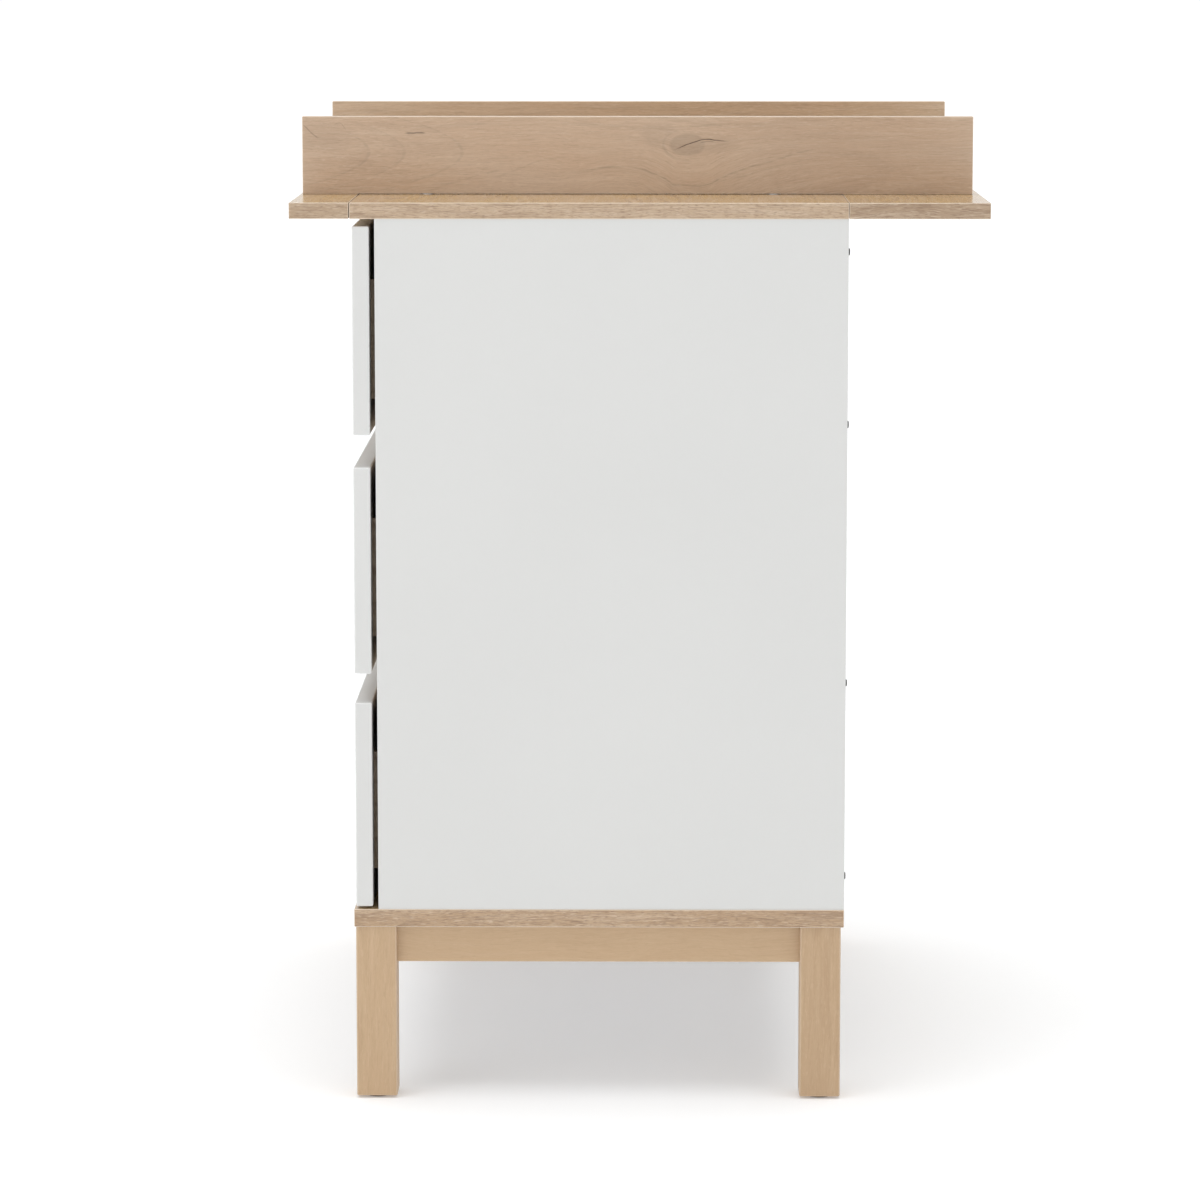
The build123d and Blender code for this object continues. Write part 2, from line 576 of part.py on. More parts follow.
# ---------------------------------------------------------------- drawers
def drawer(name):
    """One drawer: slab front, box, thin bottom panel, inner runner members and fasteners."""
    low = LOWS[name]
    box_low = low + BOX_RISE
    box_high = box_low + BOX_HEIGHT
    level = runner_level(name)
    fittings, screws = [], []
    front_cuts, side_cuts, back_cuts = [], [], []
    # thin bottom panel in its grooves
    panel_low = box_low + PANEL_RISE
    inset = PANEL_GROOVE - PANEL_SLACK
    back_front = BOX_REAR - BOX_THICK
    panel = block((-BOX_IN - inset, BOX_IN + inset), (FACE_REAR - inset, back_front + inset),
                  (panel_low, panel_low + PANEL_THICK))
    groove = block((-BOX_IN - PANEL_GROOVE, BOX_IN + PANEL_GROOVE),
                   (FACE_REAR - PANEL_GROOVE, back_front + PANEL_GROOVE),
                   (panel_low, panel_low + PANEL_THICK + 2 * FIT))
    # cams at the front corners and screws at the rear corners of the right-hand side
    joint_lift = BOX_HEIGHT / 2 - BOX_JOINT_EDGE
    for lift in (joint_lift, -joint_lift):
        joint = Vector(BOX_OUT - BOX_THICK / 2, FACE_REAR, level + lift)
        made = cam_fitting(joint, Y, -X, BOX_THICK / 2, BOX_THICK - BOX_CAM_WALL)
        fittings += made[0]
        side_cuts += made[1]
        front_cuts += made[2]
        place = Vector(BOX_OUT, BOX_REAR - BOX_THICK / 2, level + lift)
        screws.append(flush_screw(place, -X, BOX_SCREW_LENGTH))
        hole = flush_hole(place, -X, BOX_SCREW_LENGTH)
        side_cuts.append(hole)
        back_cuts.append(hole)
    # inner runner member on the side's outer face
    member = channel(BOX_OUT, SIDE_IN - INNER_RUNNER_GAP, BALL_LINE - BALL_RADIUS - FIT / 2,
                     RUNNER_METAL, (RUNNER_FRONT, RUNNER_REAR))
    member = Pos(0, 0, level) * member
    member_holes = []
    for y in (RUNNER_FRONT + INNER_SCREW_INSET, RUNNER_REAR - INNER_SCREW_INSET):
        place = Vector(BOX_OUT + RUNNER_METAL, y, level)
        screws.append(flush_screw(place, -X, INNER_SCREW_LENGTH))
        member_holes.append(flush_hole(place, -X, INNER_SCREW_LENGTH))
    side_cuts += member_holes
    write(f"drawer_runner_{name}", both_ends([cut(member, member_holes)]))
    # boards
    side = block((BOX_IN, BOX_OUT), (FACE_REAR, BOX_REAR), (box_low, box_high))
    side = cut(side, side_cuts + [groove])
    write(f"drawer_side_right_{name}", side)
    write(f"drawer_side_left_{name}", mirror(side, about=Plane.YZ))
    back = block((-BOX_IN, BOX_IN), (back_front, BOX_REAR), (box_low, box_high))
    write(f"drawer_back_{name}", cut(back, both_ends(back_cuts) + [groove]))
    reach = HALF - FRONT_END_INSET
    front = block((-reach, reach), (FACE_FRONT, FACE_REAR), (low, low + FRONT_HEIGHT), FRONT_EASE)
    write(f"drawer_front_{name}", cut(front, both_ends(front_cuts) + [groove]))
    write(f"drawer_bottom_{name}", panel)
    write(f"drawer_cams_{name}", both_ends(fittings))
    write(f"drawer_screws_{name}", both_ends(screws))


# ---------------------------------------------------------------- changing top
def changing_top():
    """Two strips level with the top board, joined by two uprights that cross it."""
    low = SURFACE_HEIGHT - STRIP_THICK
    front_y = (TRAY_FRONT, TRAY_FRONT + FRONT_STRIP_DEPTH)
    back_y = (TRAY_REAR - BACK_STRIP_DEPTH, TRAY_REAR)
    screws, upright_cuts = [], []
    strip_cuts = {"front": [], "back": []}
    length = STRIP_THICK + STRIP_SCREW_BITE
    for name, span in (("front", front_y), ("back", back_y)):
        insets = STRIP_SCREW_INSETS[name]
        for y in (span[0] + insets[0], span[1] - insets[1]):
            place = Vector(UPRIGHT_MID, y, low)
            screws.append(flush_screw(place, Z, length))
            hole = flush_hole(place, Z, length)
            strip_cuts[name].append(hole)
            upright_cuts.append(hole)
    for y in (CHEST_FRONT + TRAY_BOLT_INSET, CHEST_REAR - TRAY_BOLT_INSET):
        start = Vector(UPRIGHT_MID, y, SURFACE_HEIGHT)
        depth = UPRIGHT_RELIEF + BOLT_BITE + 1
        upright_cuts.append(rod(start, Z, BOLT_RADIUS + FIT, depth))
    relief = block((UPRIGHT_IN - 1, UPRIGHT_IN + UPRIGHT_THICK + 1), (front_y[1], back_y[0]),
                   (SURFACE_HEIGHT - 1, SURFACE_HEIGHT + UPRIGHT_RELIEF))
    upright = block((UPRIGHT_IN, UPRIGHT_IN + UPRIGHT_THICK),
                    (TRAY_FRONT + UPRIGHT_FRONT_INSET, TRAY_REAR - UPRIGHT_REAR_INSET),
                    (SURFACE_HEIGHT, SURFACE_HEIGHT + UPRIGHT_HEIGHT), EASE)
    upright = cut(upright, upright_cuts + [relief])
    write("upright_right", upright)
    write("upright_left", mirror(upright, about=Plane.YZ))
    for name, y in (("front", front_y), ("back", back_y)):
        strip = block((-HALF, HALF), y, (low, SURFACE_HEIGHT), EASE)
        write(f"{name}_strip", cut(strip, both_ends(strip_cuts[name])))
    write("tray_screws", both_ends(screws))


def main():
    os.makedirs("parts", exist_ok=True)
    pegs, board_cuts = chest()
    base(pegs, board_cuts)
    for name in NAMES:
        drawer(name)
    changing_top()


main()
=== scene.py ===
import math

import bpy
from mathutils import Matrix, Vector

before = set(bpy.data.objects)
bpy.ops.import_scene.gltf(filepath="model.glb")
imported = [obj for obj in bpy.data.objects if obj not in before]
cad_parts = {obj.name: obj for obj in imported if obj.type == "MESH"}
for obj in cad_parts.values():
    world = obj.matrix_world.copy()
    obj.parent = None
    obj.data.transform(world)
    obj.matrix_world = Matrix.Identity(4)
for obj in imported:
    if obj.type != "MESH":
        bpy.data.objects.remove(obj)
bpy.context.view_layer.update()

# The looks of a three-drawer changing chest. Metres, the frame's axes: +Z up, fronts face -Y.
MM = 0.001
NAMES = ("top", "middle", "bottom")

# ---------------------------------------------------------------- camera and floor
CAMERA_PLACE = (5.0707, 0.0083, 1.158)
CAMERA_PITCH = 7.90  # degrees below the horizon
CAMERA_YAW = -0.58
CAMERA_LENS = 141.9
CAMERA_CLIP = (0.1, 200.0)
FLOOR_HALF = 60.0
FLOOR_TONE = (236, 237, 238)
FLOOR_GLOW = 0.23  # strength of the floor's own light

# ---------------------------------------------------------------- lights
WORLD_RIM = 1.02  # surroundings at the horizon
WORLD_TOP = 0.50  # surroundings overhead
WORLD_FALL = (0.10, 0.36)  # heights on the unit sphere between which they change
OVERHEAD_PLACE = (0.1, -0.1, 4.0)
OVERHEAD_POWER = 1.75
OVERHEAD_ANGLE = 58.0  # degrees
LEFT_PLACE = (2.2, -2.0, 2.0)
LEFT_AIM = (0.2, 0, 0.6)
LEFT_POWER = 9
LEFT_SIZE = (1.6, 1.4)

# ---------------------------------------------------------------- colours
# As seen in soft white light, sRGB 0-255.
# oak faces that look up or down: their own tone, made golden with a painted reflection of the
# uprights
OAK_TOP_REFLECTED = (194, 163, 112)
BOARD_BACKING = (212, 212, 214)  # underside of the bottom board
OAK_BOARD_EDGE = (196, 171, 144)
OAK_FRONT_EDGE = (185, 160, 133)
# the back strip's edge is darker: its own tone, deepened with painted shade
OAK_BACK_EDGE_SHADED = (176, 151, 125)
OAK_BASE_EDGE = (188, 159, 128)
OAK_UPRIGHT = (203, 177, 152)
OAK_FAR = (202, 175, 146)
OAK_DARK = (128, 98, 74)
# painted highlight on the wood's arrises
ARRIS_HIGHLIGHT = (238, 222, 202)
OAK_LIGHT = (222, 202, 179)
OAK_WARM = (200, 168, 138)
UPRIGHT_FOOT_SHADE = (92, 70, 52)  # painted shade on the uprights' undersides
BEECH = (198, 168, 133)
# rear legs darker than the front ones: painted shade
BEECH_REAR_SHADED = (192, 162, 128)
BEECH_DARK = (158, 124, 92)
BEECH_LIGHT = (212, 186, 153)
BOX_BOARD = (188, 168, 146)
BOX_BOARD_DARK = (166, 144, 122)
WHITE = (220, 220, 218)
BACK_WHITE = (224, 223, 220)
FOIL_SPECK = (203, 202, 198)
# painted highlight on the white foil's arrises
FOIL_ARRIS_HIGHLIGHT = (240, 240, 239)
ZINC = (186, 188, 190)
RUNNER_ZINC = (176, 178, 181)
BLACK_OXIDE = (38, 37, 36)
GLIDE_BROWN = (52, 46, 40)


def linear(rgb, alpha=1.0):
    """sRGB 0-255 to the linear colour that a shader socket takes."""
    parts = [c / 255 for c in rgb]
    flat = [c / 12.92 if c <= 0.04045 else ((c + 0.055) / 1.055) ** 2.4 for c in parts]
    return (*flat, alpha)


# ---------------------------------------------------------------- shader shorthand
class Graph:
    """Adds nodes to a node tree and links them; each call returns a socket."""

    def __init__(self, tree):
        self.tree = tree

    def node(self, kind, sockets=None, **settings):
        made = self.tree.nodes.new(kind)
        for name, value in settings.items():
            setattr(made, name, value)
        for name, value in (sockets or {}).items():
            socket = made.inputs[name]
            if isinstance(value, bpy.types.NodeSocket):
                self.tree.links.new(value, socket)
            else:
                socket.default_value = value
        return made

    def math(self, operation, a, b=0.0, c=0.0, clamp=False):
        made = self.node("ShaderNodeMath", {0: a, 1: b, 2: c}, operation=operation)
        made.use_clamp = clamp
        return made.outputs[0]

    def vector(self, operation, a, b=(0, 0, 0)):
        return self.node("ShaderNodeVectorMath", {0: a, 1: b}, operation=operation).outputs[0]

    def split(self, vector):
        return self.node("ShaderNodeSeparateXYZ", {0: vector}).outputs

    def join(self, x, y, z):
        return self.node("ShaderNodeCombineXYZ", {0: x, 1: y, 2: z}).outputs[0]

    def noise(self, vector, sizes, detail=2.0, roughness=0.5, seed=0.0):
        """Noise whose grains have the given sizes along the three axes."""
        scaled = self.vector("MULTIPLY", vector, tuple(1 / s for s in sizes))
        moved = self.vector("ADD", scaled, (seed, seed * 1.7, seed * 0.6))
        made = self.node("ShaderNodeTexNoise", {"Vector": moved, "Scale": 1.0, "Detail": detail,
                                                "Roughness": roughness})
        return made.outputs[0]

    def ramp(self, value, low, high):
        """0 below low, 1 above high, smooth between."""
        made = self.node("ShaderNodeMapRange", {"Value": value, "From Min": low, "From Max": high},
                         interpolation_type="SMOOTHSTEP")
        return made.outputs[0]

    def fade(self, value, low, high):
        """1 below low, 0 above high, smooth between."""
        return self.math("SUBTRACT", 1.0, self.ramp(value, low, high))

    def mix(self, share, a, b, blend="MIX"):
        made = self.node("ShaderNodeMix", data_type="RGBA", blend_type=blend)
        for index, value in ((0, share), (6, a), (7, b)):
            if isinstance(value, bpy.types.NodeSocket):
                self.tree.links.new(value, made.inputs[index])
            else:
                made.inputs[index].default_value = value
        return made.outputs[2]

    def bump(self, height, distance, strength=1.0):
        return self.node("ShaderNodeBump", {"Height": height, "Distance": distance,
                                            "Strength": strength}).outputs[0]


def material(name):
    """New material with an empty Principled shader. Returns it, its graph and the shader."""
    made = bpy.data.materials.new(name)
    made.use_nodes = True
    shader = made.node_tree.nodes["Principled BSDF"]
    return made, Graph(made.node_tree), shader


def place_mm(graph):
    """Place on the object in millimetres: its mesh is in the frame's own coordinates."""
    coords = graph.node("ShaderNodeTexCoord").outputs["Object"]
    return graph.vector("MULTIPLY", coords, (1000, 1000, 1000))


def faces_down(graph):
    """1 on faces that look down, 0 on the others."""
    normal = graph.node("ShaderNodeNewGeometry").outputs["True Normal"]
    return graph.ramp(graph.math("MULTIPLY", graph.split(normal)[2], -1.0), 0.6, 0.8)


def faces_along(graph, axis):
    """1 on faces that look along an axis (0, 1 or 2), 0 on the others."""
    normal = graph.node("ShaderNodeNewGeometry").outputs["True Normal"]
    part = graph.math("ABSOLUTE", graph.split(normal)[axis])
    return graph.ramp(part, 0.6, 0.8)


def grain_space(graph, grain, band=None):
    """Place with u along the grain, v across the face and w into it.

    grain is the axis of the boards' long grain. Faces that look along that axis carry an edge
    band, whose grain runs along the axis called band.
    """
    x, y, z = graph.split(place_mm(graph))
    orders = {0: (x, y, z), 1: (y, z, x), 2: (z, y, x)}
    main = graph.join(*orders[grain])
    if band is None:
        return main
    on_band = faces_along(graph, grain)
    other = graph.join(*orders[band])
    return graph.node("ShaderNodeMix", {0: on_band, 4: main, 5: other},
                      data_type="VECTOR").outputs[1]


def set_color(graph, shader, socket):
    graph.tree.links.new(socket, shader.inputs["Base Color"])


def link(graph, socket, shader, name):
    graph.tree.links.new(socket, shader.inputs[name])


# ---------------------------------------------------------------- wood
def line_mask(graph, along, across, points, half_width, taper=0.12):
    """Mask of a smooth line through (along, across) points in mm, and the line's height.

    The mask is 1 on the line and 0 a few half widths away, and fades over a share of the line's
    length, taper, at both ends. Beyond its ends the line stays level.
    """
    first, last = points[0][0], points[-1][0]
    low = min(point[1] for point in points)
    span = max(max(point[1] for point in points) - low, 1.0)
    share = graph.math("DIVIDE", graph.math("SUBTRACT", along, first), last - first,
                       clamp=True)
    curve = graph.node("ShaderNodeFloatCurve", {1: share})
    curve.mapping.extend = "HORIZONTAL"
    dots = curve.mapping.curves[0].points
    places = [((x - first) / (last - first), (y - low) / span) for x, y in points]
    dots[0].location, dots[1].location = places[0], places[-1]
    for place in places[1:-1]:
        dots.new(*place)
    curve.mapping.update()
    height = graph.math("MULTIPLY_ADD", curve.outputs[0], span, low)
    gap = graph.math("ABSOLUTE", graph.math("SUBTRACT", across, height))
    line = graph.fade(gap, half_width * 0.35, half_width * 1.8)
    inside = graph.math("MULTIPLY", graph.ramp(share, 0.0, taper),
                        graph.fade(share, 1 - taper, 1.0))
    return graph.math("MULTIPLY", line, inside), height


def spot(graph, u, v, centre, reach, soft=0.5):
    """1 inside an ellipse at a place on the board, 0 outside, with a soft rim."""
    along = graph.math("DIVIDE", graph.math("SUBTRACT", u, centre[0]), reach[0])
    across = graph.math("DIVIDE", graph.math("SUBTRACT", v, centre[1]), reach[1])
    square = graph.math("ADD", graph.math("MULTIPLY", along, along),
                        graph.math("MULTIPLY", across, across))
    return graph.fade(square, 1.0 - soft, 1.0 + soft)


RING_PITCH = 10.5  # mm between two growth lines
FIBRE_SWAY = 8.0  # mm that fibres wander to either side


def plain_figure(graph, space, plank, seed):
    """Straight to cathedral grain: distance from a wavering heart line. Returns ring count."""
    drift = graph.noise(space, (260, 75, 90), 3, seed=seed)
    swell = graph.noise(space, (420, 900, 900), 1, seed=seed + 5)
    _, v, _ = graph.split(space)
    across = graph.math("MULTIPLY_ADD", drift, 46.0, graph.math("ADD", v, seed * 31))
    across = graph.math("PINGPONG", across, plank)
    deep = graph.math("MULTIPLY_ADD", swell, 150.0, -52.0)
    heart = graph.math("SQRT", graph.math("ADD", graph.math("MULTIPLY", across, across),
                                          graph.math("MULTIPLY", deep, deep)))
    rings = graph.math("MULTIPLY", heart, 1 / RING_PITCH)
    waver = graph.noise(space, (70, 7, 9), 3, seed=seed + 2)
    return graph.math("MULTIPLY_ADD", waver, 0.9, rings)


def ring_lines(graph, rings, space, seed):
    """Thin late-wood lines of a ring count, stronger in some places than in others."""
    turn = graph.math("FRACT", rings)
    late = graph.math("MULTIPLY", graph.ramp(turn, 0.35, 0.93), graph.fade(turn, 0.94, 1.0))
    strength = graph.ramp(graph.noise(space, (160, 40, 60), 2, seed=seed + 9), 0.38, 0.68)
    return graph.math("MULTIPLY", late, strength)


def wood(name, tones, grain, band=None, plank=92.0, figure=0.5, seed=0.0, gloss=0.36, pores=0.5,
         contrast=1.0, top=None, edge_pores=None, marks=None, arris_highlight=0.8, under=None,
         flow=None):
    """Wood or wood-effect foil with fibres, pores and growth lines, from noise in three directions.

    tones are (mean, dark, light, warm). grain and band are the axes that grain_space takes.
    plank is half the width after which the figure repeats, figure how strong its lines are,
    pores how strong the fine dark dashes are, and contrast how far the slow changes of tone go.
    gloss is the mean roughness. top is the mean tone of faces that look up or down: the oak's
    own tone, made golden with a painted reflection of the uprights. edge_pores is the strength
    of the dashes on the other faces. marks adds the knots and lines of one board, with painted
    light and shade: it turns (graph, space) into (darkening with some painted shade, crack,
    painted pool of light). flow bends the fibres: it turns the same into a shift across them in
    mm. arris is how strong the painted highlight on the arrises is, and under the tone of faces
    that look down: painted shade under the uprights and the backing under the bottom board.
    """
    made, graph, shader = material(name)
    space = grain_space(graph, grain, band)
    mean, dark, light, warm = [linear(tone) for tone in tones]
    late = ring_lines(graph, plain_figure(graph, space, plank, seed), space, seed)
    flat_space = space
    sway = graph.noise(space, (120, 110, 110), 1, seed=seed + 14)
    sway = graph.math("MULTIPLY_ADD", sway, 2 * FIBRE_SWAY, -FIBRE_SWAY)
    if flow is not None:
        sway = graph.math("ADD", sway, flow(graph, space))
    space = graph.vector("ADD", space, graph.join(0.0, sway, 0.0))
    if top is not None or edge_pores is not None:
        level = faces_along(graph, 2)
    # flat faces take the top tone, with its painted reflection of the uprights
    if top is not None:
        mean = graph.mix(level, mean, linear(top))
    if edge_pores is not None:
        pores = graph.math("MULTIPLY_ADD", level, pores - edge_pores, edge_pores)
    # fibres, pores and slow changes of tone
    fibre = graph.noise(space, (24, 1.0, 1.0), 4, 0.65, seed + 3)
    streak = graph.noise(space, (110, 5.0, 6.0), 3, 0.55, seed + 4)
    short = graph.ramp(graph.noise(space, (6.0, 0.6, 0.6), 2, 0.5, seed + 6), 0.55, 0.68)
    long = graph.ramp(graph.noise(space, (19.0, 0.75, 0.8), 2, 0.5, seed + 12), 0.55, 0.70)
    dash = graph.math("MAXIMUM", short, long)
    cloud = graph.noise(space, (190, 60, 70), 2, 0.5, seed + 7)
    flame = graph.noise(space, (9, 1.3, 30), 2, 0.5, seed + 8)
    # colour
    def share(value, low, high, strength):
        return graph.math("MULTIPLY", graph.ramp(value, low, high), strength * contrast)

    color = graph.mix(share(cloud, 0.30, 0.72, 0.7), mean, warm)
    color = graph.mix(share(streak, 0.42, 0.72, 0.34), color, light)
    color = graph.mix(share(fibre, 0.48, 0.74, 0.36), color, dark)
    color = graph.mix(graph.math("MULTIPLY", late, figure), color, dark)
    color = graph.mix(share(flame, 0.55, 0.70, 0.42), color, light)
    pore = graph.math("MULTIPLY", graph.math("MULTIPLY", dash, 0.55), pores)
    color = graph.mix(pore, color, dark)
    height = graph.math("MULTIPLY", graph.math("MULTIPLY", dash, -0.75), pores)
    height = graph.math("MULTIPLY_ADD", fibre, 0.55, height)
    height = graph.math("MULTIPLY_ADD", late, -0.15, height)
    if marks is not None:
        # the marks' darkening holds painted shade as well as figure, and pale is painted light
        shade, crack, pale = marks(graph, flat_space)
        color = graph.mix(pale, color, light)
        heart_tone = tuple(c * 0.55 for c in linear(tones[0])[:3]) + (1.0,)
        crack_tone = tuple(c * 0.25 for c in dark[:3]) + (1.0,)
        color = graph.mix(shade, color, heart_tone)
        color = graph.mix(crack, color, crack_tone)
        height = graph.math("MULTIPLY_ADD", crack, -1.5, height)
    # painted highlight on the arrises
    highlight_tone = linear(ARRIS_HIGHLIGHT)
    color = graph.mix(graph.math("MULTIPLY", eased_mask(graph), arris_highlight), color, highlight_tone)
    # faces that look down take the under tone: painted shade under the uprights, backing under the
    # bottom board
    if under is not None:
        color = graph.mix(faces_down(graph), color, linear(under))
    set_color(graph, shader, color)
    rough = graph.math("MULTIPLY_ADD", fibre, 0.10, gloss - 0.05)
    rough = graph.math("MULTIPLY_ADD", graph.math("MULTIPLY", dash, pores), 0.10, rough)
    link(graph, rough, shader, "Roughness")
    if top is not None:
        height = graph.math("MULTIPLY", height, graph.math("MULTIPLY_ADD", level, -0.85, 1.0))
    link(graph, graph.bump(height, 0.12 * MM, 0.8), shader, "Normal")
    return made


# Places on an upright's face are in mm, (along, height): the frame's Y and Z. A line is its
# points and how dark it is.
KNOT_FLOW = ((-84, 925), (-55, 929), (-28, 933), (-3, 931.7), (12.5, 926.5), (26, 920.5),
             (41, 914), (59, 913.5), (83, 922), (106, 931), (130, 938), (161, 947), (184, 952.5),
             (204, 955))
FLOW_LEVEL = 930.0  # height at which the flow leaves the fibres where they are
FLOW_BAND = (922, 972)  # heights between which the flow dies out upwards
KNOT = (48.5, 955.5)
NEAR_LINES = (
    ([(78, 917), (110, 925), (150, 936), (196, 944), (236, 947)], 0.28),
    ([(-150, 921), (-120, 932), (-98, 940), (-70, 943)], 0.22),
    ([(-210, 915), (-185, 918), (-160, 926), (-140, 930)], 0.28),
    ([(-60, 976), (-20, 975), (10, 972), (40, 973.5), (95, 976)], 0.24))
ARC_LEVEL = 948.0
ARC_BEND = 0.055  # how fast the nested arcs curve back, per mm
NEAR_ARCS = ((-276, 0.30), (-240, 0.24), (-181, 0.28))  # tip along the board, darkness
# A patch is its centre, reach, softness of the rim and darkness. In order: the knot, its tail,
# its crown, a darker patch in the figure at the board's front, and painted shade over the rear.
NEAR_PATCHES = (
    (KNOT, (18.5, 11.5), 0.28, 0.42),
    ((76, 955), (24, 8.0), 0.9, 0.22),
    ((20, 966), (17, 12.0), 0.9, 0.16),
    ((-324, 963), (30, 15.0), 0.9, 0.18),
    ((245, 945), (130, 60), 0.9, 0.12))
KNOT_RING = ((26, 16.5), (23.5, 14.5))  # outer and inner reach of the ring round the knot
# A crack is its points, half width and darkness.
NEAR_CRACKS = (
    ([(33, 950), (41, 953), (48.5, 955.8), (59, 959.3), (66, 961), (76, 960), (92, 958.4)],
     0.42, 0.85),
    ([(60, 957), (66, 958.2), (71, 958.4), (77, 958)], 0.5, 0.30),
    ([(-240, 967.0), (-229, 967.4), (-217, 967)], 0.75, 0.55),
    ([(-344, 977), (-338, 971), (-332, 965), (-326, 962)], 0.7, 0.30),
    ([(-312, 975), (-306, 977), (-301, 973), (-298, 968)], 0.6, 0.18))
FAR_LINES = (
    ([(-300, 940), (-180, 951), (-60, 948), (40, 955), (130, 947), (160, 946), (250, 958)], 0.2),
    ([(-250, 924), (-120, 933), (20, 930), (120, 917), (170, 917), (260, 926)], 0.2))
FAR_CRACK = [(140, 927), (150, 930), (159, 931)]
MARK_WANDER = 3.0  # mm that drawn marks stray, so that they don't look drawn


def knot_flow(graph, space):
    """Shift that bends the near upright's fibres under its knot, in mm."""
    u, v, _ = graph.split(space)
    _, height = line_mask(graph, u, v, KNOT_FLOW, 0.9)
    return graph.math("MULTIPLY", graph.math("SUBTRACT", FLOW_LEVEL, height),
                      graph.fade(v, *FLOW_BAND))


def mark_places(graph, space, seed):
    """Places along and up an upright's face, strayed a little."""
    wander = graph.noise(space, (14, 6, 6), 3, seed=seed)
    u, v, _ = graph.split(space)
    low = graph.math("SUBTRACT", v, MARK_WANDER / 2)
    return u, graph.math("MULTIPLY_ADD", wander, MARK_WANDER, low)


def near_upright_marks(graph, space):
    """Knot with a rising crack, the lines that flow round it, nested arcs near the front, painted
    shade over the rear and a painted pool of light on the middle.
    """
    def darker(shade, mask, strength):
        return graph.math("MAXIMUM", shade, graph.math("MULTIPLY", mask, strength))

    u, v = mark_places(graph, space, 21.0)
    patchy = graph.ramp(graph.noise(space, (26, 3.0, 5.0), 3, 0.6, 23.0), 0.30, 0.62)
    main, height = line_mask(graph, u, v, KNOT_FLOW, 0.9)
    shade = graph.math("MULTIPLY", main, 0.5)
    below = graph.math("SUBTRACT", height, v)
    soft = graph.math("MULTIPLY", graph.ramp(below, -0.5, 0.8), graph.fade(below, 0.8, 9.0))
    inside = graph.math("MULTIPLY", graph.ramp(u, -90, -40), graph.fade(u, 150, 210))
    shade = darker(shade, graph.math("MULTIPLY", soft, inside), 0.14)
    for points, strength in NEAR_LINES:
        line, _ = line_mask(graph, u, v, points, 0.8)
        shade = darker(shade, line, strength)
    # nested arcs that open towards the front end
    rise = graph.math("SUBTRACT", v, ARC_LEVEL)
    tips = graph.math("MULTIPLY_ADD", graph.math("MULTIPLY", rise, rise), ARC_BEND, u)
    for tip, strength in NEAR_ARCS:
        gap = graph.math("ABSOLUTE", graph.math("SUBTRACT", tips, tip))
        shade = darker(shade, graph.fade(gap, 0.5, 3.0), strength)
        band_in = graph.math("MULTIPLY", graph.ramp(tips, tip - 16, tip),
                             graph.fade(tips, tip, tip + 1))
        shade = darker(shade, band_in, 0.10)
    shade = graph.math("MULTIPLY", shade, patchy)
    for centre, reach, rim, strength in NEAR_PATCHES:
        shade = darker(shade, spot(graph, u, v, centre, reach, rim), strength)
    outer, inner = KNOT_RING
    ring = graph.math("SUBTRACT", spot(graph, u, v, KNOT, outer, 0.16),
                      spot(graph, u, v, KNOT, inner, 0.16))
    shade = darker(shade, graph.math("MULTIPLY", ring, graph.fade(u, 28, 44)), 0.36)
    crack = 0.0
    for points, width, strength in NEAR_CRACKS:
        line, _ = line_mask(graph, u, v, points, width, 0.22)
        crack = darker(crack, line, strength)
    # painted pool of light across the middle of the board
    pale = graph.math("MULTIPLY", spot(graph, u, v, (-70, 950), (170, 70), 0.9), 0.16)
    return shade, crack, pale


def far_upright_marks(graph, space):
    """A small knot, a few long lines and a painted pool of light towards the front."""
    u, v = mark_places(graph, space, 31.0)
    shade = graph.math("MULTIPLY", spot(graph, u, v, (150, 930), (15, 9), 0.3), 0.30)
    for points, strength in FAR_LINES:
        line, _ = line_mask(graph, u, v, points, 0.9)
        shade = graph.math("MAXIMUM", shade, graph.math("MULTIPLY", line, strength))
    crack, _ = line_mask(graph, u, v, FAR_CRACK, 0.5, 0.2)
    # painted pool of light towards the board's front
    pale = graph.math("MULTIPLY", spot(graph, u, v, (-200, 960), (150, 60), 0.9), 0.14)
    return shade, graph.math("MULTIPLY", crack, 0.6), pale


def edge_mask(graph, radius=1.5 * MM):
    """1 on arrises and 0 on flat faces."""
    bevel = graph.node("ShaderNodeBevel", {"Radius": radius}, samples=4).outputs[0]
    normal = graph.node("ShaderNodeNewGeometry").outputs["Normal"]
    dot = graph.node("ShaderNodeVectorMath", {0: bevel, 1: normal},
                     operation="DOT_PRODUCT").outputs[1]
    return graph.ramp(graph.math("SUBTRACT", 1.0, dot), 0.02, 0.22)


def eased_mask(graph):
    """1 on the rounded arrises of boards that stand square to the axes, 0 on their flat faces."""
    normal = graph.node("ShaderNodeNewGeometry").outputs["True Normal"]
    parts = graph.split(normal)
    longest = graph.math("ABSOLUTE", parts[0])
    for part in parts[1:3]:
        longest = graph.math("MAXIMUM", longest, graph.math("ABSOLUTE", part))
    return graph.fade(longest, 0.90, 0.998)


